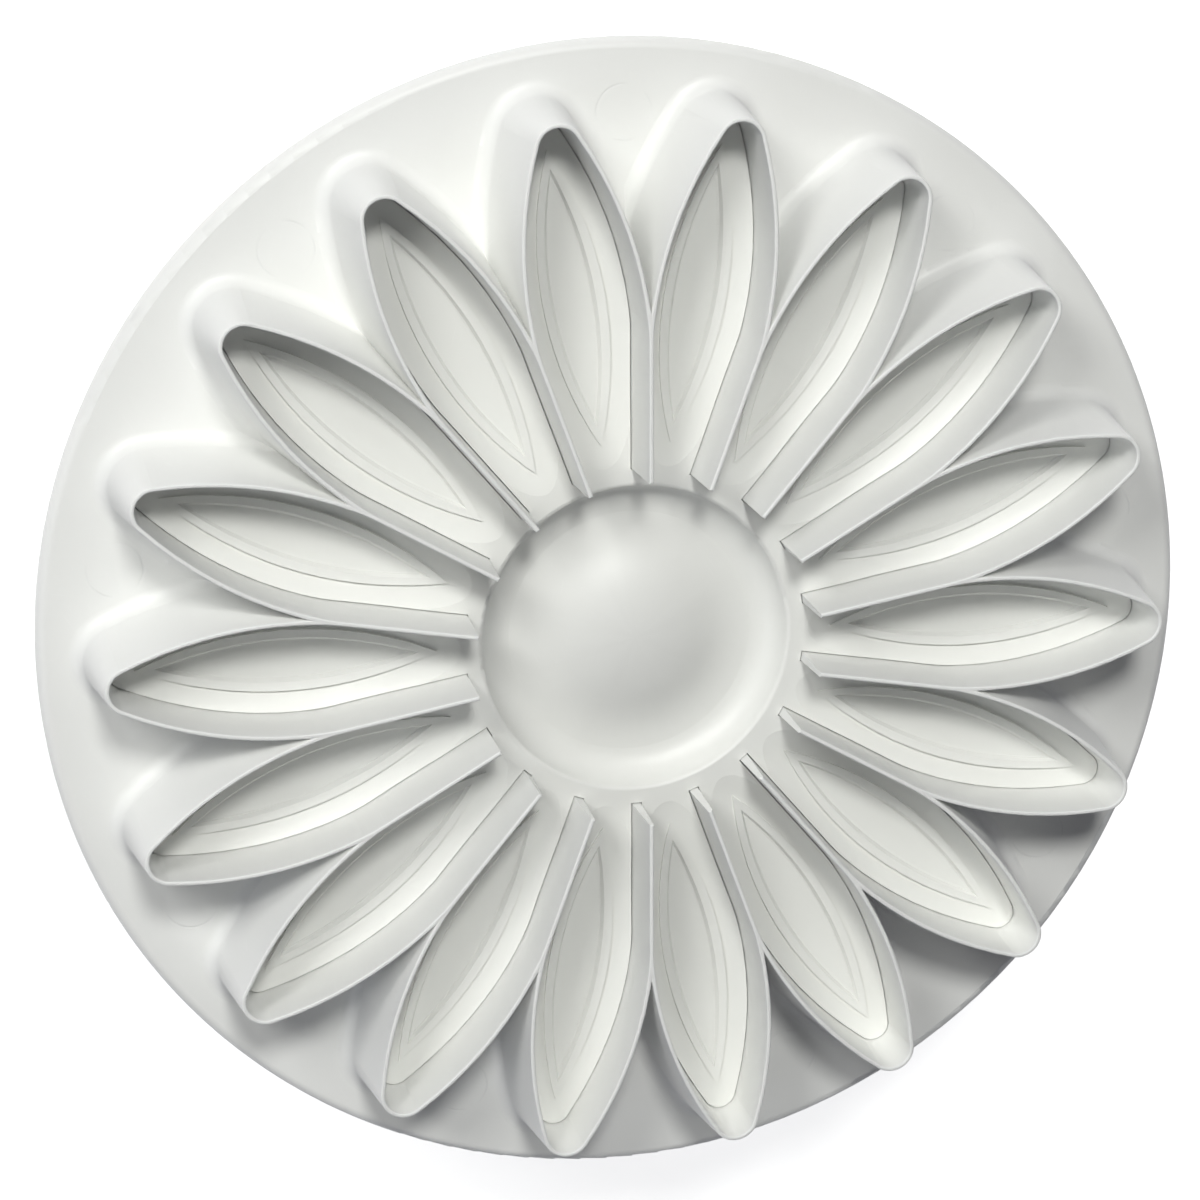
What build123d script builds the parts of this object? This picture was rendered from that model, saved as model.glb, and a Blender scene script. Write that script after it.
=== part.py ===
from build123d import *
from math import acos, atan, atan2, cos, degrees, hypot, pi, radians, sin, sqrt, tan
import os

os.makedirs("parts", exist_ok=True)

# Daisy plunger cutter, standing on its push button with the cutting edge up.
# All lengths are millimetres. The axis of the plunger is Z and the origin is
# the centre of the button's pressing face.

# Flower plan, at the level of the cutting edge
petal_count = 18
half_pitch = 180 / petal_count
petal_tip_reach = 51.85
petal_widest_share = 0.66
petal_tip_rounding = 2.35
edge_thickness = 0.4
web_edge_thickness = 0.42
web_shoulder_radius = 19.0
web_shoulder_cut = 0.12
web_inner_radius = 17.0

# Wall
wall_height = 11.4
outer_draft = 7.0
cell_draft = 2.0
wall_base_fillet = 1.5
edge_rounding = 0.17

# Flange and guide neck of the cutter
flange_margin = 5.65
flange_thickness = 2.4
flange_rim_rounding = 1.0
flange_back_rounding = 0.4
neck_wall = 2.15
neck_root_fillet = 0.4
neck_mouth_chamfer = 0.4

# Embossing plate
plate_level = 4.8
plate_thickness = 2.6
plate_clearance = 0.1
boss_margin = 1.86
boss_root_fillet = 0.8
scoop_depth = 1.2
scoop_end_margin = 0.3
lens_root_margin = 2.65
lens_tip_margin = 2.5
lens_side_share = 0.4
bead_width_share = 0.24
bead_flank_share = 0.32
bead_height = 0.4
bead_end_height = 0.2
panel_depth = 0.1
panel_end_depth = 0.06

# Dished flower centre of the plate
dish_land = 1.26
dish_rim_rounding = 0.5
dish_wall_rounding = 3.1
dish_depth = 2.8
dome_drop = 0.3
dome_cap_share = 0.62

# Plunger stem and its seats
stem_radius = 4.5
stem_running_clearance = 0.05
stem_seat_clearance = 0.02
stem_socket_depth = 1.6
stem_end_chamfer = 0.3
eject_overrun = 0.5
stop_clearance = 0.2

# Push button
button_radius = 18.0
button_height = 10.0
button_wall = 2.0
button_top_rounding = 1.2
button_foot_rounding = 0.8
button_boss_wall = 2.5
button_socket_depth = 3.2
button_web = 2.0
cap_thickness = 1.6
cap_clearance = 0.05
cap_ledge = 0.8
cap_skirt_height = 1.2
cap_skirt_wall = 1.2
cap_edge_chamfer = 0.2

# Return spring and its seat washer
spring_wire = 1.2
spring_curls = 7
spring_neck_clearance = 0.5
seat_washer_thickness = 0.8
seat_washer_margin = 1.2
seat_washer_bore_clearance = 0.2
seat_washer_chamfer = 0.15
spring_length = 21.2
spring_seat_gap = 0.03
spring_end_pitch = 1.72

# Fixing screw and washer
screw_radius = 1.5
screw_grip = 9.0
screw_fit = 0.02
screw_hole_clearance = 0.2
screw_head_radius = 2.9
screw_head_height = 1.9
screw_head_rounding = 0.5
screw_tip_chamfer = 0.4
screw_tip_room = 0.5
recess_width = 0.8
recess_depth = 1.0
recess_reach = 1.7
washer_radius = 4.4
washer_thickness = 0.6

overrun = 1.0
angle_slack = 0.01

# Plan sizes that follow from the ones above. A petal's side arc meets its tip
# arc and would cut into the face of the web by a set amount without its
# shoulder, which settles the petal's width and the arc's radius.
petal_widest_at = petal_widest_share * petal_tip_reach
petal_tip_span = petal_tip_reach - petal_widest_at
pitch_cosine = cos(radians(half_pitch))
web_offset = (
    petal_widest_at * sin(radians(half_pitch))
    - web_edge_thickness / 2
    + edge_thickness
    + web_shoulder_cut
)
width_sum = web_offset + petal_tip_rounding * pitch_cosine
width_product = (1 - pitch_cosine) * (
    petal_tip_span**2 - 2 * petal_tip_span * petal_tip_rounding
) + 2 * petal_tip_rounding * web_offset
petal_half_width = (
    width_sum + sqrt(width_sum**2 - (1 + pitch_cosine) * width_product)
) / (1 + pitch_cosine)
petal_side_radius = (
    petal_tip_span**2 + petal_half_width**2 - 2 * petal_tip_span * petal_tip_rounding
) / (2 * (petal_half_width - petal_tip_rounding))
flange_radius = petal_tip_reach + flange_margin
neck_radius = stem_radius + stem_running_clearance + neck_wall
hub_radius = web_inner_radius - plate_clearance
boss_radius = hub_radius - boss_margin
dish_rim_radius = hub_radius - dish_land
button_boss_radius = stem_radius + button_boss_wall

# Levels, from the pressing face up
button_top = button_height
washer_top = button_top + seat_washer_thickness
flange_back = washer_top + spring_length
flange_top = flange_back + flange_thickness
edge_level = flange_top + wall_height
plate_top = flange_top + plate_level
plate_back = plate_top - plate_thickness
travel = wall_height - plate_level + eject_overrun
neck_end = washer_top + travel + stop_clearance
stem_bottom = button_top - button_socket_depth
stem_top = flange_top + stem_socket_depth
boss_bottom = stem_bottom - button_web
head_bottom = boss_bottom - washer_thickness - screw_head_height


def turned(length, angle):
    return (length * cos(radians(angle)), length * sin(radians(angle)))


# True for an edge that doesn't lie on a side plane of the sector.
def on_outline(edge):
    middle = edge @ 0.5
    return abs(degrees(atan2(middle.Y, middle.X))) < half_pitch - angle_slack


# Petal outlines are arcs about shared centres, so that each inner line is the
# outer one moved inwards by an equal amount.
side_centre = (petal_widest_at, petal_half_width - petal_side_radius)
tip_centre = (petal_tip_reach - petal_tip_rounding, 0)
tip_heading = degrees(atan2(-side_centre[1], tip_centre[0] - side_centre[0])) - 90


# Whole lobe, straight sided inside its widest place. grow moves it outwards.
def lobe_outline(level, grow):
    side_radius = petal_side_radius + grow
    widest = (side_centre[0], -side_centre[1] - side_radius)
    with BuildSketch(Plane.XY.offset(level)) as lobe:
        with BuildLine():
            Line((0, widest[1]), widest)
            side = JernArc(widest, (1, 0), side_radius, -tip_heading)
            JernArc(side @ 1, side % 1, petal_tip_rounding + grow, 90 + tip_heading)
            mirror(about=Plane.XZ)
            Line((0, -widest[1]), (0, widest[1]))
        make_face()
    return lobe.sketch


# Inside of one petal with its half of the two radial webs. shrink moves it inwards.
def cell_outline(level, inner_reach, shrink):
    side_radius = petal_side_radius - edge_thickness - shrink
    shoulder_radius = web_shoulder_radius - shrink
    web_half = web_edge_thickness / 2 + shrink
    along = turned(1, half_pitch)
    across = (-along[1], along[0])
    reach = web_half + shoulder_radius
    base = (
        -reach * across[0] - side_centre[0],
        -reach * across[1] - side_centre[1],
    )
    run = along[0] * base[0] + along[1] * base[1]
    rest = hypot(*base) ** 2 - (side_radius - shoulder_radius) ** 2
    shoulder_at = -run + sqrt(run**2 - rest)
    shoulder = (
        shoulder_at * along[0] - reach * across[0],
        shoulder_at * along[1] - reach * across[1],
    )
    side_heading = (
        degrees(atan2(shoulder[1] - side_centre[1], shoulder[0] - side_centre[0])) - 90
    )
    start = (
        inner_reach * along[0] - web_half * across[0],
        inner_reach * along[1] - web_half * across[1],
    )
    turn_in = (
        shoulder_at * along[0] - web_half * across[0],
        shoulder_at * along[1] - web_half * across[1],
    )
    tip_radius = petal_tip_rounding - edge_thickness - shrink
    with BuildSketch(Plane.XY.offset(level)) as cell:
        with BuildLine():
            Line(start, turn_in)
            first = JernArc(turn_in, along, shoulder_radius, side_heading - half_pitch)
            side = JernArc(first @ 1, first % 1, side_radius, tip_heading - side_heading)
            JernArc(side @ 1, side % 1, tip_radius, -90 - tip_heading)
            mirror(about=Plane.XZ)
            Line(start, (start[0], -start[1]))
        make_face()
    return cell.sketch


# Pointed lens between two arcs, for the embossed bead. shrink moves it inwards.
def lens_outline(level, shrink):
    point_angle = 2 * atan(2 * lens_half_width / (lens_end - lens_start))
    start = lens_start + shrink / sin(point_angle)
    end = lens_end - shrink / sin(point_angle)
    middle = (start + end) / 2
    with BuildSketch(Plane.XY.offset(level)) as lens:
        with BuildLine():
            ThreePointArc((start, 0), (middle, shrink - lens_half_width), (end, 0))
            ThreePointArc((end, 0), (middle, lens_half_width - shrink), (start, 0))
        make_face()
    return lens.sketch


# Amount by which a cell is narrower at a level than at the cutting edge
def cell_narrowing(level):
    return (edge_level - level) * tan(radians(cell_draft))


sector_side = flange_radius + overrun
sector_tall = edge_level + overrun

# One sector of the cutter: flange, drafted petal wall and its half webs
cell_inner_reach = web_inner_radius / 2
outer_grow = wall_height * tan(radians(outer_draft))
with BuildPart() as petal_sector:
    with BuildSketch(Plane.XY.offset(flange_back)):
        Circle(flange_radius)
    extrude(amount=flange_thickness)
    add(lobe_outline(flange_top, outer_grow))
    extrude(amount=wall_height, taper=outer_draft)
    with BuildSketch():
        with BuildLine():
            Polyline(
                (0, 0),
                turned(sector_side, half_pitch),
                (sector_side + sector_side, 0),
                turned(sector_side, -half_pitch),
                close=True,
            )
        make_face()
    extrude(amount=sector_tall, mode=Mode.INTERSECT)
    wall_foot = (
        petal_sector.edges()
        .filter_by(GeomType.CIRCLE)
        .filter_by_position(Axis.Z, flange_top, flange_top)
        .filter_by(lambda edge: edge.radius < flange_radius - wall_base_fillet)
    )
    fillet(wall_foot, wall_base_fillet)
    add(cell_outline(flange_top, cell_inner_reach, cell_narrowing(flange_top)))
    add(cell_outline(edge_level, cell_inner_reach, 0))
    loft(ruled=True, mode=Mode.SUBTRACT)
    with BuildSketch(Plane.XY.offset(flange_top)):
        Circle(web_inner_radius)
    extrude(amount=sector_tall, mode=Mode.SUBTRACT)
    edge_sides = (
        petal_sector.faces()
        .sort_by(Axis.Z)[-1]
        .edges()
        .filter_by(lambda edge: on_outline(edge))
    )
    fillet(edge_sides, edge_rounding)


# Cutter: the sectors joined, with the guide neck behind the flange
with BuildPart() as cutter_body:
    with PolarLocations(0, petal_count):
        add(petal_sector.part)
    with BuildSketch(Plane.XY.offset(neck_end)):
        Circle(neck_radius)
    extrude(amount=flange_back - neck_end)
    neck_root = (
        cutter_body.edges()
        .filter_by(GeomType.CIRCLE)
        .filter_by_position(Axis.Z, flange_back, flange_back)
        .sort_by(SortBy.RADIUS)[0]
    )
    fillet(neck_root, neck_root_fillet)
    with BuildSketch(Plane.XY.offset(neck_end)):
        Circle(stem_radius + stem_running_clearance)
    extrude(amount=flange_top - neck_end, mode=Mode.SUBTRACT)
    chamfer(
        cutter_body.edges().filter_by_position(Axis.Z, neck_end, neck_end),
        neck_mouth_chamfer,
    )
    rim_edges = cutter_body.edges().filter_by(GeomType.CIRCLE).sort_by(SortBy.RADIUS)
    fillet(rim_edges.filter_by_position(Axis.Z, flange_top, flange_top)[-1], flange_rim_rounding)
    rim_edges = cutter_body.edges().filter_by(GeomType.CIRCLE).sort_by(SortBy.RADIUS)
    fillet(rim_edges.filter_by_position(Axis.Z, flange_back, flange_back)[-1], flange_back_rounding)
cutter_body.part.label = "cutter_body"
export_step(cutter_body.part, "parts/cutter_body.step")

# Pad of the embossing plate, filling one cell, with its hollowed face
pad_inner_reach = web_inner_radius / 2
pad_reach = petal_tip_reach - edge_thickness - cell_narrowing(plate_top) - plate_clearance
pad_widest_half = petal_half_width - edge_thickness - cell_narrowing(plate_top) - plate_clearance
scoop_axis_rise = (pad_widest_half**2 - scoop_depth**2) / (2 * scoop_depth)
scoop_axis = Axis((0, 0, plate_top + scoop_axis_rise), (1, 0, 0))
scoop_start = web_inner_radius + scoop_end_margin
scoop_end = pad_reach - scoop_end_margin
scoop_middle = (scoop_start + scoop_end) / 2

lens_start = web_inner_radius + lens_root_margin
lens_end = pad_reach - lens_tip_margin
lens_half_width = (1 - lens_side_share) * pad_widest_half
bead_width = bead_width_share * pad_widest_half
bead_flank = bead_flank_share * bead_width


# Spindle about the scoop axis. The insets are how far it stays above the
# hollowed face at its ends and in its middle.
def scoop_profile(end_inset, middle_inset):
    end_radius = scoop_axis_rise - end_inset
    middle_radius = scoop_axis_rise + scoop_depth - middle_inset
    axis_level = plate_top + scoop_axis_rise
    with BuildSketch(Plane.XZ) as scoop:
        with BuildLine():
            ThreePointArc(
                (scoop_start, axis_level - end_radius),
                (scoop_middle, axis_level - middle_radius),
                (scoop_end, axis_level - end_radius),
            )
            Line((scoop_end, axis_level - end_radius), (scoop_end, axis_level))
            Line((scoop_end, axis_level), (scoop_start, axis_level))
            Line((scoop_start, axis_level), (scoop_start, axis_level - end_radius))
        make_face()
    return scoop.sketch


# Bead round the lens, sloping down inwards from its crest
with BuildPart() as bead:
    add(lens_outline(plate_back, 0))
    extrude(amount=plate_thickness + overrun)
    add(lens_outline(plate_back, bead_width))
    extrude(amount=plate_thickness + overrun, mode=Mode.SUBTRACT)
    add(scoop_profile(bead_end_height, bead_height))
    revolve(axis=scoop_axis, mode=Mode.SUBTRACT)
    crest = bead.faces().filter_by(GeomType.REVOLUTION)[0]
    chamfer(
        crest.inner_wires()[0].edges(), bead_flank, bead_height + panel_depth, reference=crest
    )

# Sunken panel inside the bead
with BuildPart() as panel:
    add(lens_outline(plate_back, bead_width))
    extrude(amount=plate_thickness + overrun)
    add(scoop_profile(-panel_end_depth, -panel_depth))
    revolve(axis=scoop_axis, mode=Mode.INTERSECT)

with BuildPart() as pad:
    add(cell_outline(plate_back, pad_inner_reach, cell_narrowing(plate_back) + plate_clearance))
    add(cell_outline(plate_top, pad_inner_reach, cell_narrowing(plate_top) + plate_clearance))
    loft(ruled=True)
    add(scoop_profile(0, 0))
    revolve(axis=scoop_axis, mode=Mode.SUBTRACT)
    add(panel.part, mode=Mode.SUBTRACT)
    add(bead.part)

# Embossing plate: hub, pads, seating boss and the dished flower centre
dish_rise = acos(1 - dish_depth / (dish_wall_rounding + dish_rim_rounding))
moat_radius = dish_rim_radius - (dish_wall_rounding + dish_rim_rounding) * sin(dish_rise)
dome_turn = 2 * atan((dish_depth - dome_drop) / moat_radius)
dome_cap_radius = dome_cap_share * moat_radius / sin(dome_turn)
dome_foot_radius = (1 - dome_cap_share) * moat_radius / sin(dome_turn)
with BuildPart() as embossing_plate:
    with BuildSketch(Plane.XY.offset(plate_back)):
        Circle(hub_radius)
    extrude(amount=plate_thickness)
    with PolarLocations(0, petal_count):
        add(pad.part)
    with BuildSketch(Plane.XY.offset(flange_top)):
        Circle(boss_radius)
    extrude(amount=plate_back - flange_top)
    boss_root = (
        embossing_plate.edges()
        .filter_by(GeomType.CIRCLE)
        .filter_by_position(Axis.Z, plate_back, plate_back)
        .filter_by(lambda edge: abs(edge.radius - boss_radius) < angle_slack)
    )
    fillet(boss_root, boss_root_fillet)
    with BuildSketch(Plane.XZ):
        with BuildLine():
            cap = JernArc(
                (0, plate_top - dome_drop), (1, 0), dome_cap_radius, -degrees(dome_turn)
            )
            foot = JernArc(cap @ 1, cap % 1, dome_foot_radius, degrees(dome_turn))
            wall = JernArc(foot @ 1, foot % 1, dish_wall_rounding, degrees(dish_rise))
            lip = JernArc(wall @ 1, wall % 1, dish_rim_rounding, -degrees(dish_rise))
            Polyline(
                lip @ 1,
                (dish_rim_radius, plate_top + overrun),
                (0, plate_top + overrun),
                (0, plate_top - dome_drop),
            )
        make_face()
    revolve(axis=Axis.Z, mode=Mode.SUBTRACT)
    with BuildSketch(Plane.XY.offset(flange_top)):
        Circle(stem_radius + stem_seat_clearance)
    extrude(amount=stem_socket_depth, mode=Mode.SUBTRACT)
embossing_plate.part.label = "embossing_plate"
export_step(embossing_plate.part, "parts/embossing_plate.step")

# Stem, bonded in the plate's boss and screwed to the button
with BuildPart() as plunger_stem:
    with BuildSketch(Plane.XY.offset(stem_bottom)):
        Circle(stem_radius)
    extrude(amount=stem_top - stem_bottom)
    chamfer(plunger_stem.edges().filter_by(GeomType.CIRCLE), stem_end_chamfer)
    with BuildSketch(Plane.XY.offset(stem_bottom)):
        Circle(screw_radius)
    extrude(amount=screw_grip + screw_tip_room, mode=Mode.SUBTRACT)
plunger_stem.part.label = "plunger_stem"
export_step(plunger_stem.part, "parts/plunger_stem.step")

# Hollow push button with a boss for the stem, open below for its cap
cap_recess_radius = button_radius - button_wall
with BuildPart() as push_button:
    with BuildSketch():
        Circle(button_radius)
    extrude(amount=button_height)
    fillet(push_button.edges().group_by(Axis.Z)[-1], button_top_rounding)
    fillet(push_button.edges().group_by(Axis.Z)[0], button_foot_rounding)
    with BuildSketch(Plane.XY.offset(cap_thickness)):
        Circle(cap_recess_radius - cap_ledge)
        Circle(button_boss_radius, mode=Mode.SUBTRACT)
    extrude(amount=button_height - button_wall - cap_thickness, mode=Mode.SUBTRACT)
    with BuildSketch(Plane.XY.offset(cap_thickness)):
        Circle(button_boss_radius)
    extrude(amount=boss_bottom - cap_thickness, mode=Mode.SUBTRACT)
    with BuildSketch():
        Circle(cap_recess_radius)
    extrude(amount=cap_thickness, mode=Mode.SUBTRACT)
    with BuildSketch(Plane.XY.offset(stem_bottom)):
        Circle(stem_radius + stem_seat_clearance)
    extrude(amount=button_socket_depth, mode=Mode.SUBTRACT)
    with BuildSketch(Plane.XY.offset(boss_bottom)):
        Circle(screw_radius + screw_hole_clearance)
    extrude(amount=button_web, mode=Mode.SUBTRACT)
push_button.part.label = "push_button"
export_step(push_button.part, "parts/push_button.step")

# Snap-in cap that closes the button and is its pressing face
cap_radius = cap_recess_radius - cap_clearance
skirt_radius = cap_recess_radius - cap_ledge - cap_clearance
with BuildPart() as button_cap:
    with BuildSketch():
        Circle(cap_radius)
    extrude(amount=cap_thickness)
    chamfer(button_cap.edges().group_by(Axis.Z)[0], cap_edge_chamfer)
    with BuildSketch(Plane.XY.offset(cap_thickness)):
        Circle(skirt_radius)
        Circle(skirt_radius - cap_skirt_wall, mode=Mode.SUBTRACT)
    extrude(amount=cap_skirt_height)
button_cap.part.label = "button_cap"
export_step(button_cap.part, "parts/button_cap.step")

# Seat washer under the spring
spring_radius = neck_radius + spring_neck_clearance + spring_wire / 2
with BuildPart() as spring_seat:
    with BuildSketch(Plane.XY.offset(button_top)):
        Circle(spring_radius + spring_wire / 2 + seat_washer_margin)
        Circle(stem_radius + seat_washer_bore_clearance, mode=Mode.SUBTRACT)
    extrude(amount=seat_washer_thickness)
    chamfer(
        spring_seat.edges().filter_by(GeomType.CIRCLE).sort_by(SortBy.RADIUS)[-2:],
        seat_washer_chamfer,
    )
spring_seat.part.label = "spring_seat"
export_step(spring_seat.part, "parts/spring_seat.step")

# Return spring: one wire, closer wound at both ends
spring_low = washer_top + spring_seat_gap + spring_wire / 2
spring_rise = spring_length - 2 * spring_seat_gap - spring_wire
spring_mid_pitch = spring_end_pitch + (spring_rise - spring_curls * spring_end_pitch) / (
    spring_curls - 2
)


# Pitch after a number of curls: even for half a curl at each end, then easing
# over one curl to the pitch of the middle.
def spring_pitch(curl):
    blend = min(max(min(curl, spring_curls - curl) - 0.5, 0), 1)
    return spring_end_pitch + (spring_mid_pitch - spring_end_pitch) * blend


def spring_climb(curl):
    near = min(curl, spring_curls - curl)
    eased = min(max(near - 0.5, 0), 1)
    extra = (spring_mid_pitch - spring_end_pitch) * (eased**2 / 2 + max(near - 1.5, 0))
    low = near * spring_end_pitch + extra
    return low if curl <= spring_curls / 2 else spring_rise - low


def spring_point(curl):
    angle = 2 * pi * curl
    return Vector(
        spring_radius * cos(angle),
        spring_radius * sin(angle),
        spring_low + spring_climb(curl),
    )


def spring_tangent(curl):
    angle = 2 * pi * curl
    around = 2 * pi * spring_radius
    return Vector(-around * sin(angle), around * cos(angle), spring_pitch(curl)).normalized()


quarter_count = 4 * spring_curls
with BuildPart() as return_spring:
    with BuildLine() as spring_path:
        for quarter in range(quarter_count):
            start = spring_point(quarter / 4)
            end = spring_point((quarter + 1) / 4)
            leave = spring_tangent(quarter / 4)
            arrive = spring_tangent((quarter + 1) / 4)
            span = end - start
            bend = 2 * (leave.dot(arrive) - 1)
            lean = span.dot(leave + arrive)
            reach = (lean - sqrt(lean**2 - bend * span.dot(span))) / bend
            before = start + leave * reach
            after = end - arrive * reach
            joint = (before + after) / 2
            TangentArc(start, joint, tangent=leave)
            TangentArc(joint, end, tangent=after - before)
    with BuildSketch(Plane(origin=spring_point(0), z_dir=spring_tangent(0))):
        Circle(spring_wire / 2)
    sweep()
return_spring.part.label = "return_spring"
export_step(return_spring.part, "parts/return_spring.step")

# Least gap of the wire to itself, between points half a curl to one and a half apart
spring_run = spring_path.wire()
half_curl_samples = 85
sample_count = 2 * half_curl_samples * spring_curls
wire_samples = [spring_run @ (i / sample_count) for i in range(sample_count + 1)]
least_gap = min(
    (one - two).length - spring_wire
    for i, one in enumerate(wire_samples)
    for two in wire_samples[i + half_curl_samples : i + 3 * half_curl_samples]
)
print("spring wire length", spring_run.length, "least gap to itself", least_gap)

# Fixing screw with a cross recess, and its washer
with BuildPart() as button_screw:
    with BuildSketch(Plane.XY.offset(head_bottom)):
        Circle(screw_head_radius)
    extrude(amount=screw_head_height)
    fillet(button_screw.edges().group_by(Axis.Z)[0], screw_head_rounding)
    with BuildSketch(Plane.XY.offset(head_bottom)):
        Rectangle(2 * recess_reach, recess_width)
        Rectangle(recess_width, 2 * recess_reach)
    extrude(amount=recess_depth, mode=Mode.SUBTRACT)
    with BuildSketch(Plane.XY.offset(head_bottom + screw_head_height)):
        Circle(screw_radius - screw_fit)
    extrude(amount=washer_thickness + button_web + screw_grip)
    chamfer(button_screw.edges().group_by(Axis.Z)[-1], screw_tip_chamfer)
button_screw.part.label = "button_screw"
export_step(button_screw.part, "parts/button_screw.step")

with BuildPart() as screw_washer:
    with BuildSketch(Plane.XY.offset(boss_bottom - washer_thickness)):
        Circle(washer_radius)
        Circle(screw_radius + screw_hole_clearance, mode=Mode.SUBTRACT)
    extrude(amount=washer_thickness)
screw_washer.part.label = "screw_washer"
export_step(screw_washer.part, "parts/screw_washer.step")
print("travel", travel)
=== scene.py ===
# Daisy plunger cutter: camera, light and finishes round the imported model
import math

import bpy
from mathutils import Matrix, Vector


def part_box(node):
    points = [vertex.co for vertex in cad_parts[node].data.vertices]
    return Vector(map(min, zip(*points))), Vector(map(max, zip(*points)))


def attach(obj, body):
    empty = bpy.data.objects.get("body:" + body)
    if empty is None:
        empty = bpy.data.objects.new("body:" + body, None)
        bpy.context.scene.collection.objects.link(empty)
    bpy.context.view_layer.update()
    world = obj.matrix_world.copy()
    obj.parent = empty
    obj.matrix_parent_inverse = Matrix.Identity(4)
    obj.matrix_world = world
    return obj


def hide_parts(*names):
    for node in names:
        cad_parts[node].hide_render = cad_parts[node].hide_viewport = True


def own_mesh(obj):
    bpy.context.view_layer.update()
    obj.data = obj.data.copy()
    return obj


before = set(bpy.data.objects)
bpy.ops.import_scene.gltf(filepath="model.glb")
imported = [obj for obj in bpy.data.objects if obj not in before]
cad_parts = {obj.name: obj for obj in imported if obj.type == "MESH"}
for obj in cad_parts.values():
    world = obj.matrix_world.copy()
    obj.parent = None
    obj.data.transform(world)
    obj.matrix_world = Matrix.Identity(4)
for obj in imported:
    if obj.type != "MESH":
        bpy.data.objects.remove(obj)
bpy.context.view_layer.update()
print("frame loaded:", len(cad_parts), "nodes")


# camera, standing where the photograph was taken
cameraView = {
    "place": (0.100542, 0.053188, 0.339419),
    "turn": (-15.512, -12.515, -100.272),
    "lens": 98.9,
    "sensorWidth": 36.0,
    "nearest": 0.02,
    "farthest": 20.0,
}


def standCamera(view):
    lens = bpy.data.cameras.new("photoCamera")
    lens.lens = view["lens"]
    lens.sensor_width = view["sensorWidth"]
    lens.clip_start = view["nearest"]
    lens.clip_end = view["farthest"]
    camera = bpy.data.objects.new("photoCamera", lens)
    camera.location = view["place"]
    camera.rotation_euler = [math.radians(angle) for angle in view["turn"]]
    bpy.context.scene.collection.objects.link(camera)
    bpy.context.scene.camera = camera


standCamera(cameraView)
print("camera placed")


# floor, lamps and sky
studio = {
    "floorSize": 3.0,
    "floorColour": (0.8, 0.8, 0.8, 1.0),
    "floorRoughness": 0.9,
    "floorGlow": 0.8,
    "floorDrop": 0.0002,
    "skyColour": (0.74, 0.76, 1.0, 1.0),
    "skyStrength": 0.34,
    "skyFade": 0.65,
    "white": (1.0, 1.0, 1.0, 1.0),
    "aim": (0.0, 0.0, 0.036),
}
highLamp = {
    "name": "highLamp",
    "turn": -1.0,
    "rise": 57.0,
    "away": 0.9,
    "size": 0.17,
    "power": 3.92,
    "colour": (1.0, 1.0, 0.972),
}
sideLamp = {
    "name": "sideLamp",
    "turn": 34.0,
    "rise": 41.0,
    "away": 0.9,
    "size": 0.32,
    "power": 3.25,
    "colour": (1.0, 1.0, 0.972),
}
leftLamp = {
    "name": "leftLamp",
    "turn": 95.0,
    "rise": 34.0,
    "away": 0.9,
    "size": 0.5,
    "power": 0.75,
    "colour": (0.90, 0.93, 1.0),
}


def addNode(tree, kind, place, **settings):
    node = tree.nodes.new(kind)
    node.location = place
    for name, value in settings.items():
        setattr(node, name, value)
    return node


def seenDirectly(tree, place):
    path = addNode(tree, "ShaderNodeLightPath", place)
    first = addNode(tree, "ShaderNodeMath", (place[0] + 180, place[1]), operation="MAXIMUM")
    both = addNode(tree, "ShaderNodeMath", (place[0] + 360, place[1]), operation="MAXIMUM")
    tree.links.new(path.outputs["Is Camera Ray"], first.inputs[0])
    tree.links.new(path.outputs["Is Glossy Ray"], first.inputs[1])
    tree.links.new(first.outputs[0], both.inputs[0])
    tree.links.new(path.outputs["Is Transmission Ray"], both.inputs[1])
    return both.outputs[0]


def floorPaint(look):
    paint = bpy.data.materials.new("paleFloor")
    paint.use_nodes = True
    tree = paint.node_tree
    shader = tree.nodes["Principled BSDF"]
    shader.inputs["Base Color"].default_value = look["floorColour"]
    shader.inputs["Roughness"].default_value = look["floorRoughness"]
    shader.inputs["Specular IOR Level"].default_value = 0.0
    glow = addNode(tree, "ShaderNodeMath", (-180, -200), operation="MULTIPLY")
    glow.inputs[1].default_value = look["floorGlow"]
    tree.links.new(seenDirectly(tree, (-720, -200)), glow.inputs[0])
    shader.inputs["Emission Color"].default_value = look["white"]
    tree.links.new(glow.outputs[0], shader.inputs["Emission Strength"])
    return paint


def layFloor(look):
    bpy.ops.mesh.primitive_plane_add(size=look["floorSize"], location=(0.0, 0.0, -look["floorDrop"]))
    floor = bpy.context.object
    floor.name = "studioFloor"
    floor.data.materials.append(floorPaint(look))


def hangLamp(look, aim):
    turn, rise = math.radians(look["turn"]), math.radians(look["rise"])
    toLamp = Vector(
        (math.cos(turn) * math.cos(rise), math.sin(turn) * math.cos(rise), math.sin(rise))
    )
    lamp = bpy.data.lights.new(look["name"], "AREA")
    lamp.shape = "DISK"
    lamp.size = look["size"]
    lamp.energy = look["power"]
    lamp.color = look["colour"]
    hung = bpy.data.objects.new(look["name"], lamp)
    hung.location = Vector(aim) + toLamp * look["away"]
    hung.rotation_mode = "QUATERNION"
    hung.rotation_quaternion = toLamp.to_track_quat("Z", "Y")
    bpy.context.scene.collection.objects.link(hung)


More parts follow.
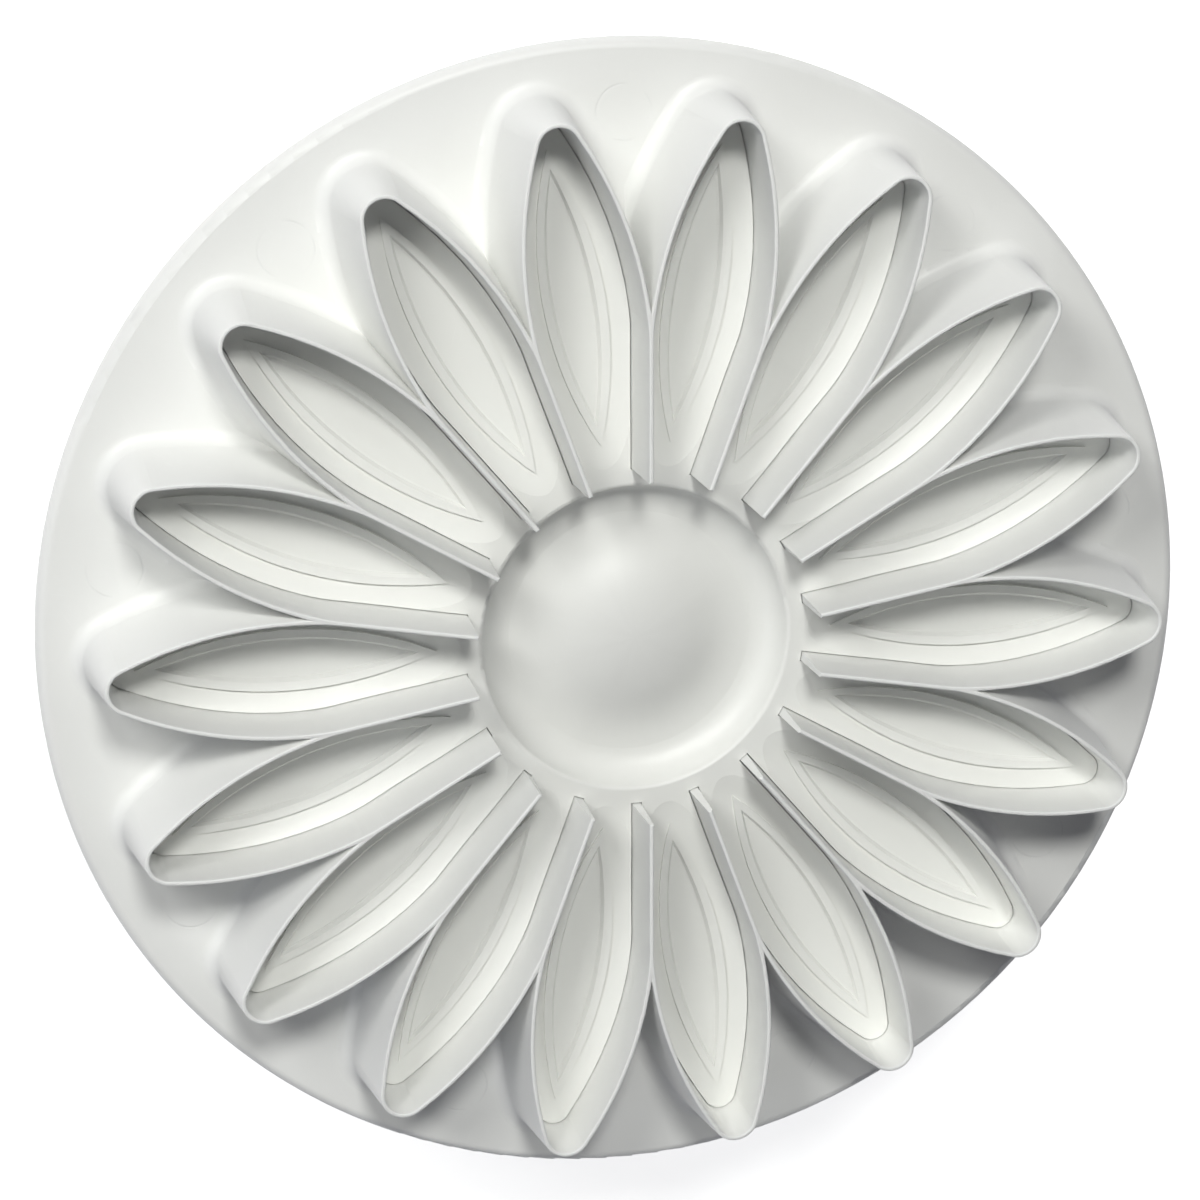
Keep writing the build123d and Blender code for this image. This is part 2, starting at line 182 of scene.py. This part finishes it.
# sky that is brighter low down, as from white cards round the table
def lightSky(look):
    sky = bpy.data.worlds.new("studioSky")
    sky.use_nodes = True
    bpy.context.scene.world = sky
    tree = sky.node_tree
    dim = tree.nodes["Background"]
    dim.inputs["Color"].default_value = look["skyColour"]
    sight = addNode(tree, "ShaderNodeTexCoord", (-1100, -100))
    split = addNode(tree, "ShaderNodeSeparateXYZ", (-900, -100))
    tree.links.new(sight.outputs["Generated"], split.inputs[0])
    low = addNode(tree, "ShaderNodeMath", (-700, -100), operation="MULTIPLY_ADD", use_clamp=True)
    low.inputs[1].default_value = -1.0 / look["skyFade"]
    low.inputs[2].default_value = 1.0
    tree.links.new(split.outputs[2], low.inputs[0])
    level = addNode(tree, "ShaderNodeMath", (-500, -100), operation="MULTIPLY")
    level.inputs[1].default_value = look["skyStrength"]
    tree.links.new(low.outputs[0], level.inputs[0])
    tree.links.new(level.outputs[0], dim.inputs["Strength"])
    white = addNode(tree, "ShaderNodeBackground", (0, -200))
    white.inputs["Color"].default_value = look["white"]
    mix = addNode(tree, "ShaderNodeMixShader", (220, 0))
    tree.links.new(seenDirectly(tree, (-600, 200)), mix.inputs["Fac"])
    tree.links.new(dim.outputs[0], mix.inputs[1])
    tree.links.new(white.outputs[0], mix.inputs[2])
    tree.links.new(mix.outputs[0], tree.nodes["World Output"].inputs["Surface"])


layFloor(studio)
for lampLook in (highLamp, sideLamp, leftLamp):
    hangLamp(lampLook, studio["aim"])
lightSky(studio)
bpy.context.scene.view_settings.view_transform = "Standard"
print("studio lit")


# helpers for the shader groups and the finishes
def newGroup(name, takes, gives):
    group = bpy.data.node_groups.new(name, "ShaderNodeTree")
    for label, start in takes:
        socket = group.interface.new_socket(label, in_out="INPUT", socket_type="NodeSocketFloat")
        socket.default_value = start
    for label in gives:
        group.interface.new_socket(label, in_out="OUTPUT", socket_type="NodeSocketFloat")
    return (
        group,
        addNode(group, "NodeGroupInput", (-1800, 0)),
        addNode(group, "NodeGroupOutput", (900, 0)),
    )


def mathStep(tree, operation, place, *values, clamp=False):
    step = addNode(tree, "ShaderNodeMath", place, operation=operation, use_clamp=clamp)
    for slot, value in enumerate(values):
        if isinstance(value, (int, float)):
            step.inputs[slot].default_value = value
        else:
            tree.links.new(value, step.inputs[slot])
    return step.outputs[0]


def joinVector(tree, place, *parts):
    joined = addNode(tree, "ShaderNodeCombineXYZ", place)
    for slot, part in enumerate(parts):
        tree.links.new(part, joined.inputs[slot])
    return joined.outputs[0]


def objectAxes(tree, place):
    where = addNode(tree, "ShaderNodeTexCoord", place)
    split = addNode(tree, "ShaderNodeSeparateXYZ", (place[0] + 180, place[1]))
    tree.links.new(where.outputs["Object"], split.inputs[0])
    return where.outputs["Object"], split.outputs[0], split.outputs[1], split.outputs[2]


def noiseStep(tree, place, vector, scale, detail, rough=0.5):
    noise = addNode(tree, "ShaderNodeTexNoise", place)
    noise.inputs["Detail"].default_value = detail
    noise.inputs["Roughness"].default_value = rough
    tree.links.new(vector, noise.inputs["Vector"])
    if isinstance(scale, (int, float)):
        noise.inputs["Scale"].default_value = scale
    else:
        tree.links.new(scale, noise.inputs["Scale"])
    return noise.outputs["Fac"]


# distance from the plunger's axis and the turn about it
def polarAxes(tree, place, east, north):
    squares = mathStep(tree, "MULTIPLY", place, east, east)
    squares = mathStep(tree, "MULTIPLY_ADD", (place[0] + 170, place[1]), north, north, squares)
    reach = mathStep(tree, "SQRT", (place[0] + 340, place[1]), squares)
    turn = mathStep(tree, "ARCTAN2", (place[0] + 340, place[1] - 170), north, east)
    return reach, turn


# satin grain of a spark-eroded mould, and the slow swell of a cooling face
def buildMouldSkin():
    group, takes, gives = newGroup(
        "mouldSkin", [("Grain Scale", 9000.0), ("Swell Scale", 90.0)], ["Grain", "Swell"]
    )
    where = objectAxes(group, (-1500, 300))[0]
    grain = noiseStep(group, (-900, 300), where, takes.outputs["Grain Scale"], 3.0)
    swell = noiseStep(group, (-900, 0), where, takes.outputs["Swell Scale"], 1.5)
    group.links.new(mathStep(group, "SUBTRACT", (-500, 300), grain, 0.5), gives.inputs["Grain"])
    group.links.new(mathStep(group, "SUBTRACT", (-500, 0), swell, 0.5), gives.inputs["Swell"])
    return group


# tone that spreads out from the gate at the middle, as the melt flowed
def buildFlowTone():
    group, takes, gives = newGroup(
        "flowTone", [("Fan Scale", 3.0), ("Reach Scale", 70.0), ("Contrast", 1.6)], ["Tone"]
    )
    _, east, north, rise = objectAxes(group, (-1600, 200))
    reach, turn = polarAxes(group, (-1300, 200), east, north)
    fanEast = mathStep(group, "COSINE", (-800, 300), turn)
    fanNorth = mathStep(group, "SINE", (-800, 130), turn)
    fanEast = mathStep(group, "MULTIPLY", (-620, 300), fanEast, takes.outputs["Fan Scale"])
    fanNorth = mathStep(group, "MULTIPLY", (-620, 130), fanNorth, takes.outputs["Fan Scale"])
    outward = mathStep(group, "ADD", (-620, -40), reach, rise)
    outward = mathStep(group, "MULTIPLY", (-440, -40), outward, takes.outputs["Reach Scale"])
    flow = noiseStep(group, (-60, 150), joinVector(group, (-250, 150), fanEast, fanNorth, outward), 1.0, 3.0)
    flow = mathStep(group, "SUBTRACT", (150, 150), flow, 0.5)
    flow = mathStep(group, "MULTIPLY_ADD", (330, 150), flow, takes.outputs["Contrast"], 0.5, clamp=True)
    group.links.new(flow, gives.inputs["Tone"])
    return group


# fine lines that run round the axis: turned, drawn or polished round
def buildRoundLines():
    group, takes, gives = newGroup(
        "roundLines",
        [("Fineness", 12000.0), ("Drift", 2.0), ("Band Share", 0.12)],
        ["Line", "Band"],
    )
    _, east, north, rise = objectAxes(group, (-1600, 200))
    reach, turn = polarAxes(group, (-1300, 200), east, north)
    driftEast = mathStep(group, "COSINE", (-980, -120), turn)
    driftEast = mathStep(group, "MULTIPLY", (-800, -120), driftEast, takes.outputs["Drift"])
    outward = mathStep(group, "MULTIPLY", (-800, 200), reach, takes.outputs["Fineness"])
    upward = mathStep(group, "MULTIPLY", (-800, 40), rise, takes.outputs["Fineness"])
    path = joinVector(group, (-600, 120), outward, upward, driftEast)
    line = noiseStep(group, (-380, 250), path, 1.0, 2.0, 0.7)
    band = noiseStep(group, (-380, 0), path, takes.outputs["Band Share"], 1.0)
    group.links.new(mathStep(group, "SUBTRACT", (-150, 250), line, 0.5), gives.inputs["Line"])
    group.links.new(mathStep(group, "SUBTRACT", (-150, 0), band, 0.5), gives.inputs["Band"])
    return group


# faint broken rings that the ejector pins leave, evenly round the axis; the cutter uses them for a groove
# bump and for a darker ring colour that is partly painted shade
def buildPinMarks():
    group, takes, gives = newGroup(
        "pinMarks",
        [
            ("Count", 9.0),
            ("First Turn", 0.0),
            ("Reach", 0.05),
            ("Pin Radius", 0.0026),
            ("Line", 0.00008),
            ("Patch Scale", 260.0),
            ("Patch Contrast", 5.0),
            ("Bare Share", 0.44),
        ],
        ["Ring"],
    )
    where, east, north, _ = objectAxes(group, (-1800, 300))
    reach, turn = polarAxes(group, (-1600, 300), east, north)
    step = mathStep(group, "DIVIDE", (-1250, -100), 2 * math.pi, takes.outputs["Count"])
    turned = mathStep(group, "SUBTRACT", (-1250, 100), turn, takes.outputs["First Turn"])
    halfStep = mathStep(group, "MULTIPLY", (-1080, -240), step, 0.5)
    backStep = mathStep(group, "MULTIPLY", (-1080, -400), step, -0.5)
    turned = mathStep(group, "WRAP", (-900, 100), turned, halfStep, backStep)
    along = mathStep(group, "MULTIPLY", (-700, 250), reach, mathStep(group, "COSINE", (-720, 100), turned))
    along = mathStep(group, "SUBTRACT", (-520, 250), along, takes.outputs["Reach"])
    aside = mathStep(group, "MULTIPLY", (-520, 60), reach, mathStep(group, "SINE", (-720, -60), turned))
    squares = mathStep(group, "MULTIPLY", (-340, 250), along, along)
    squares = mathStep(group, "MULTIPLY_ADD", (-340, 60), aside, aside, squares)
    away = mathStep(group, "SQRT", (-160, 250), squares)
    away = mathStep(group, "SUBTRACT", (-160, 60), away, takes.outputs["Pin Radius"])
    away = mathStep(group, "ABSOLUTE", (-160, -100), away)
    off = mathStep(group, "DIVIDE", (20, -100), away, takes.outputs["Line"])
    ring = mathStep(group, "SUBTRACT", (200, -100), 1.0, off, clamp=True)
    patchy = noiseStep(group, (20, 420), where, takes.outputs["Patch Scale"], 1.0)
    patchy = mathStep(group, "SUBTRACT", (220, 420), patchy, takes.outputs["Bare Share"])
    patchy = mathStep(group, "MULTIPLY", (320, 420), patchy, takes.outputs["Patch Contrast"], clamp=True)
    group.links.new(mathStep(group, "MULTIPLY", (420, 100), ring, patchy), gives.inputs["Ring"])
    return group


# hairlines rubbed into the plastic by handling and washing
def buildRubLines():
    group, takes, gives = newGroup(
        "rubLines",
        [
            ("Length Scale", 260.0),
            ("Width Scale", 9000.0),
            ("Amount", 0.64),
            ("Contrast", 8.0),
        ],
        ["Rub"],
    )
    where = objectAxes(group, (-1600, 200))[0]
    found = []
    for turn, shift in ((25.0, 0.0), (112.0, 0.4), (158.0, 0.9)):
        level = 200 - 400 * len(found)
        lay = addNode(group, "ShaderNodeMapping", (-1300, level))
        lay.inputs["Rotation"].default_value = (0.0, 0.0, math.radians(turn))
        lay.inputs["Location"].default_value = (shift, shift, 0.0)
        group.links.new(where, lay.inputs["Vector"])
        split = addNode(group, "ShaderNodeSeparateXYZ", (-1100, level))
        group.links.new(lay.outputs[0], split.inputs[0])
        stretched = []
        for slot, scale in enumerate(("Length Scale", "Width Scale", "Length Scale")):
            step = (-900, level - 160 * slot)
            stretched.append(mathStep(group, "MULTIPLY", step, split.outputs[slot], takes.outputs[scale]))
        path = joinVector(group, (-700, level), *stretched)
        found.append(noiseStep(group, (-500, level), path, 1.0, 1.0))
    most = mathStep(group, "MAXIMUM", (-250, 0), found[0], found[1])
    most = mathStep(group, "MAXIMUM", (-70, 0), most, found[2])
    over = mathStep(group, "SUBTRACT", (110, 0), most, takes.outputs["Amount"])
    rub = mathStep(group, "MULTIPLY", (290, 0), over, takes.outputs["Contrast"], clamp=True)
    group.links.new(rub, gives.inputs["Rub"])
    return group


mouldSkin = buildMouldSkin()
flowTone = buildFlowTone()
roundLines = buildRoundLines()
pinMarks = buildPinMarks()
rubLines = buildRubLines()
print("shader groups built")


def startFinish(look):
    finish = bpy.data.materials.new(look["name"])
    finish.use_nodes = True
    shader = finish.node_tree.nodes["Principled BSDF"]
    shader.inputs["Base Color"].default_value = look["colour"]
    shader.inputs["Roughness"].default_value = look["roughness"]
    return finish, finish.node_tree, shader


def placeEffect(tree, effect, place, **values):
    node = addNode(tree, "ShaderNodeGroup", place, node_tree=effect)
    labels = {"".join(socket.name.split()).lower(): socket for socket in node.inputs}
    for name, value in values.items():
        labels[name.lower()].default_value = value
    return node.outputs


def tintMix(tree, place, share, under, over):
    mix = addNode(tree, "ShaderNodeMix", place, data_type="RGBA")
    for slot, value in ((0, share), (6, under), (7, over)):
        if isinstance(value, tuple):
            mix.inputs[slot].default_value = value
        else:
            tree.links.new(value, mix.inputs[slot])
    return mix.outputs[2]


def feelHeight(tree, shader, height, strength, depth):
    bump = addNode(tree, "ShaderNodeBump", (-300, -500))
    bump.inputs["Strength"].default_value = strength
    bump.inputs["Distance"].default_value = depth
    tree.links.new(height, bump.inputs["Height"])
    tree.links.new(bump.outputs["Normal"], shader.inputs["Normal"])


def dressNode(name, finish):
    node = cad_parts[name]
    node.data.materials.clear()
    node.data.materials.append(finish)


# what all the white mouldings share
plasticFeel = {
    "grainRough": 0.25,
    "swellRough": 0.12,
    "rubRough": 0.08,
    "lineRough": 0.2,
}


# white plastic: flow tone, grain and rub on one colour
def mouldedPlastic(look):
    finish, tree, shader = startFinish(look)
    flow = placeEffect(tree, flowTone, (-1500, 500), contrast=look["flowContrast"])
    skin = placeEffect(tree, mouldSkin, (-1500, 200), grainScale=look["grain"])
    rub = placeEffect(tree, rubLines, (-1500, -50), amount=look["rubAmount"])
    shade = mathStep(tree, "MULTIPLY", (-1200, 500), flow["Tone"], look["flowDepth"])
    colour = tintMix(tree, (-950, 500), shade, look["colour"], look["deepColour"])
    faint = mathStep(tree, "MULTIPLY", (-1200, -50), rub["Rub"], look["rubDepth"])
    colour = tintMix(tree, (-700, 500), faint, colour, look["rubColour"])
    feel = plasticFeel
    rough = mathStep(tree, "MULTIPLY_ADD", (-950, 200), skin["Grain"], feel["grainRough"], look["roughness"])
    rough = mathStep(tree, "MULTIPLY_ADD", (-700, 200), skin["Swell"], feel["swellRough"], rough)
    rough = mathStep(tree, "MULTIPLY_ADD", (-500, 200), rub["Rub"], feel["rubRough"], rough)
    height = mathStep(tree, "MULTIPLY_ADD", (-950, -250), skin["Swell"], look["swellDepth"], skin["Grain"])
    return finish, tree, shader, colour, rough, height


def settle(tree, shader, colour, rough, height, look):
    tree.links.new(colour, shader.inputs["Base Color"])
    tree.links.new(rough, shader.inputs["Roughness"])
    feelHeight(tree, shader, height, look["bumpStrength"], look["bumpDepth"])


# cutter: flange, petal walls and guide neck
cutterLook = {
    "name": "cutterPlastic",
    "colour": (0.835, 0.84, 0.82, 1.0),
    "deepColour": (0.795, 0.801, 0.781, 1.0),
    "rubColour": (0.86, 0.865, 0.85, 1.0),
    "roughness": 0.44,
    "grain": 9000.0,
    "flowContrast": 1.7,
    "flowDepth": 0.8,
    "rubAmount": 0.69,
    "rubDepth": 0.5,
    "swellDepth": 6.0,
    "bumpStrength": 0.35,
    "bumpDepth": 0.000012,
    "wallHeight": 0.0114,
    "levelSlack": 0.00006,
    "pinCount": 9.0,
    "pinFirstTurn": -10.0,
    "pinReach": 0.0505,
    "pinRadius": 0.0027,
    "pinLine": 0.00016,
    # pin ring colour: darker, partly the pin marks' own tone and partly painted shade in their grooves
    "pinColour": (0.74, 0.745, 0.735, 1.0),
    "pinShare": 0.7,
    "pinGroove": 9.0,
    "edgeRubHeight": 0.0003,
    "edgeRough": 0.12,
    "edgeColour": (0.82, 0.825, 0.808, 1.0),
}


def cutterFinish(look):
    finish, tree, shader, colour, rough, height = mouldedPlastic(look)
    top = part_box("cutter_body")[1][2]
    rise = objectAxes(tree, (-1500, 900))[3]
    offFlange = mathStep(tree, "SUBTRACT", (-1200, 900), rise, top - look["wallHeight"])
    offFlange = mathStep(tree, "ABSOLUTE", (-1030, 900), offFlange)
    onFlange = mathStep(tree, "LESS_THAN", (-860, 900), offFlange, look["levelSlack"])
    pins = placeEffect(
        tree,
        pinMarks,
        (-1200, 1200),
        count=look["pinCount"],
        firstTurn=math.radians(look["pinFirstTurn"]),
        reach=look["pinReach"],
        pinRadius=look["pinRadius"],
        line=look["pinLine"],
    )
    # pin rings on the flange: the darker ring colour is partly the marks' own tone and partly painted shade
    # in the pin grooves
    ring = mathStep(tree, "MULTIPLY", (-680, 1100), pins["Ring"], onFlange)
    faint = mathStep(tree, "MULTIPLY", (-620, 900), ring, look["pinShare"])
    colour = tintMix(tree, (-450, 700), faint, colour, look["pinColour"])
    nearEdge = mathStep(tree, "SUBTRACT", (-1030, 720), rise, top - look["edgeRubHeight"])
    nearEdge = mathStep(tree, "DIVIDE", (-860, 720), nearEdge, look["edgeRubHeight"], clamp=True)
    colour = tintMix(tree, (-250, 700), nearEdge, colour, look["edgeColour"])
    rough = mathStep(tree, "MULTIPLY_ADD", (-300, 200), nearEdge, look["edgeRough"], rough)
    height = mathStep(tree, "MULTIPLY_ADD", (-700, -250), ring, -look["pinGroove"], height)
    settle(tree, shader, colour, rough, height, look)
    return finish


dressNode("cutter_body", cutterFinish(cutterLook))
print("cutter finished")


# embossing plate: pads, beads and dished centre, polished a little finer
plateLook = {
    "name": "platePlastic",
    "colour": (0.815, 0.822, 0.793, 1.0),
    "deepColour": (0.785, 0.790, 0.762, 1.0),
    "rubColour": (0.86, 0.865, 0.845, 1.0),
    "roughness": 0.40,
    "grain": 11000.0,
    "flowContrast": 1.5,
    "flowDepth": 0.8,
    "rubAmount": 0.70,
    "rubDepth": 0.4,
    "swellDepth": 5.0,
    "bumpStrength": 0.3,
    "bumpDepth": 0.00001,
    "turnedReach": 0.0156,
    "turnedFineness": 9000.0,
    "turnedDrift": 1.5,
    "turnedRough": 0.3,
    "turnedDepth": 0.8,
}


def plateFinish(look):
    finish, tree, shader, colour, rough, height = mouldedPlastic(look)
    _, east, north, _ = objectAxes(tree, (-1800, 1100))
    reach = polarAxes(tree, (-1500, 1100), east, north)[0]
    inDish = mathStep(tree, "LESS_THAN", (-950, 1100), reach, look["turnedReach"])
    lines = placeEffect(
        tree, roundLines, (-1200, 850), fineness=look["turnedFineness"], drift=look["turnedDrift"]
    )
    turned = mathStep(tree, "MULTIPLY", (-750, 900), lines["Line"], inDish)
    rough = mathStep(tree, "MULTIPLY_ADD", (-300, 200), turned, look["turnedRough"], rough)
    height = mathStep(tree, "MULTIPLY_ADD", (-700, -250), turned, look["turnedDepth"], height)
    settle(tree, shader, colour, rough, height, look)
    return finish


dressNode("embossing_plate", plateFinish(plateLook))
print("embossing plate finished")


# stem: smooth running surface with faint lines round it
stemLook = {
    "name": "stemPlastic",
    "colour": (0.79, 0.79, 0.765, 1.0),
    "deepColour": (0.75, 0.75, 0.725, 1.0),
    "rubColour": (0.83, 0.83, 0.81, 1.0),
    "roughness": 0.33,
    "grain": 12000.0,
    "flowContrast": 1.3,
    "flowDepth": 0.7,
    "rubAmount": 0.66,
    "rubDepth": 0.5,
    "swellDepth": 3.0,
    "bumpStrength": 0.3,
    "bumpDepth": 0.000008,
    "lineFineness": 8000.0,
    "lineDepth": 1.4,
}

# push button: satin outside, rubbed where the fingers hold it
buttonLook = {
    "name": "buttonPlastic",
    "colour": (0.812, 0.818, 0.79, 1.0),
    "deepColour": (0.77, 0.776, 0.75, 1.0),
    "rubColour": (0.86, 0.862, 0.845, 1.0),
    "roughness": 0.40,
    "grain": 8000.0,
    "flowContrast": 1.6,
    "flowDepth": 0.8,
    "rubAmount": 0.65,
    "rubDepth": 0.6,
    "swellDepth": 5.0,
    "bumpStrength": 0.4,
    "bumpDepth": 0.000014,
    "lineFineness": 3000.0,
    "lineDepth": 0.5,
}

# cap: the face that stands on the table, scuffed and finely turned
capLook = {
    "name": "capPlastic",
    "colour": (0.805, 0.81, 0.785, 1.0),
    "deepColour": (0.76, 0.765, 0.74, 1.0),
    "rubColour": (0.87, 0.872, 0.86, 1.0),
    "roughness": 0.47,
    "grain": 7000.0,
    "flowContrast": 1.8,
    "flowDepth": 0.9,
    "rubAmount": 0.60,
    "rubDepth": 0.8,
    "swellDepth": 4.0,
    "bumpStrength": 0.45,
    "bumpDepth": 0.000016,
    "lineFineness": 5000.0,
    "lineDepth": 1.2,
}


def roundPlastic(look):
    finish, tree, shader, colour, rough, height = mouldedPlastic(look)
    lines = placeEffect(tree, roundLines, (-1500, 850), fineness=look["lineFineness"])
    rough = mathStep(tree, "MULTIPLY_ADD", (-300, 200), lines["Line"], plasticFeel["lineRough"], rough)
    height = mathStep(tree, "MULTIPLY_ADD", (-700, -250), lines["Line"], look["lineDepth"], height)
    settle(tree, shader, colour, rough, height, look)
    return finish


for nodeName, look in (("plunger_stem", stemLook), ("push_button", buttonLook), ("button_cap", capLook)):
    dressNode(nodeName, roundPlastic(look))
print("stem, button and cap finished")


# stainless pieces: drawn wire, stamped washers, turned screw head
springLook = {
    "name": "springWire",
    "colour": (0.60, 0.595, 0.585, 1.0),
    "deepColour": (0.42, 0.41, 0.40, 1.0),
    "roughness": 0.26,
    "lineFineness": 14000.0,
    "lineDepth": 0.9,
    "bandShade": 0.7,
    "bumpDepth": 0.000012,
}
seatLook = {
    "name": "seatSteel",
    "colour": (0.58, 0.58, 0.575, 1.0),
    "deepColour": (0.46, 0.455, 0.45, 1.0),
    "roughness": 0.36,
    "lineFineness": 9000.0,
    "lineDepth": 1.0,
    "bandShade": 0.6,
    "bumpDepth": 0.000014,
}
screwLook = {
    "name": "screwSteel",
    "colour": (0.55, 0.55, 0.555, 1.0),
    "deepColour": (0.38, 0.38, 0.385, 1.0),
    "roughness": 0.31,
    "lineFineness": 16000.0,
    "lineDepth": 1.0,
    "bandShade": 0.8,
    "bumpDepth": 0.00001,
}
washerLook = {
    "name": "washerSteel",
    "colour": (0.60, 0.60, 0.59, 1.0),
    "deepColour": (0.48, 0.475, 0.465, 1.0),
    "roughness": 0.40,
    "lineFineness": 11000.0,
    "lineDepth": 0.8,
    "bandShade": 0.5,
    "bumpDepth": 0.000012,
}

# what all the steel pieces share
steelFeel = {
    "metal": 1.0,
    "lineDrift": 3.0,
    "grain": 6000.0,
    "swell": 400.0,
    "bandContrast": 2.0,
    "bandBase": 0.4,
    "lineRough": 0.3,
    "swellRough": 0.2,
    "bumpStrength": 0.35,
}


# steel: lines and bands round the axis, over a faint grain
def steelFinish(look):
    finish, tree, shader = startFinish(look)
    feel = steelFeel
    shader.inputs["Metallic"].default_value = feel["metal"]
    lines = placeEffect(
        tree, roundLines, (-1300, 300), fineness=look["lineFineness"], drift=feel["lineDrift"]
    )
    skin = placeEffect(tree, mouldSkin, (-1300, 0), grainScale=feel["grain"], swellScale=feel["swell"])
    shade = mathStep(
        tree, "MULTIPLY_ADD", (-1000, 300), lines["Band"], feel["bandContrast"], feel["bandBase"], clamp=True
    )
    shade = mathStep(tree, "MULTIPLY", (-820, 300), shade, look["bandShade"])
    colour = tintMix(tree, (-600, 300), shade, look["colour"], look["deepColour"])
    tree.links.new(colour, shader.inputs["Base Color"])
    rough = mathStep(tree, "MULTIPLY_ADD", (-820, 50), lines["Line"], feel["lineRough"], look["roughness"])
    rough = mathStep(tree, "MULTIPLY_ADD", (-600, 50), skin["Swell"], feel["swellRough"], rough)
    tree.links.new(rough, shader.inputs["Roughness"])
    height = mathStep(tree, "MULTIPLY_ADD", (-820, -200), lines["Line"], look["lineDepth"], skin["Grain"])
    feelHeight(tree, shader, height, feel["bumpStrength"], look["bumpDepth"])
    return finish


for nodeName, look in (
    ("return_spring", springLook),
    ("spring_seat", seatLook),
    ("button_screw", screwLook),
    ("screw_washer", washerLook),
):
    dressNode(nodeName, steelFinish(look))
print("steel pieces finished")


# spring: a copy of the CAD coil stands for the node and hangs on the cutter body
springCoil = {
    "name": "springCoil",
    "node": "return_spring",
    "body": "cutter",
    "joint": "plunge",
    "slot": "spring_steel",
}


def standSpring(coil):
    shape = bpy.data.objects.new(coil["name"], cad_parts[coil["node"]].data.copy())
    bpy.context.scene.collection.objects.link(shape)
    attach(shape, coil["body"])
    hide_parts(coil["node"])
    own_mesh(shape)


standSpring(springCoil)
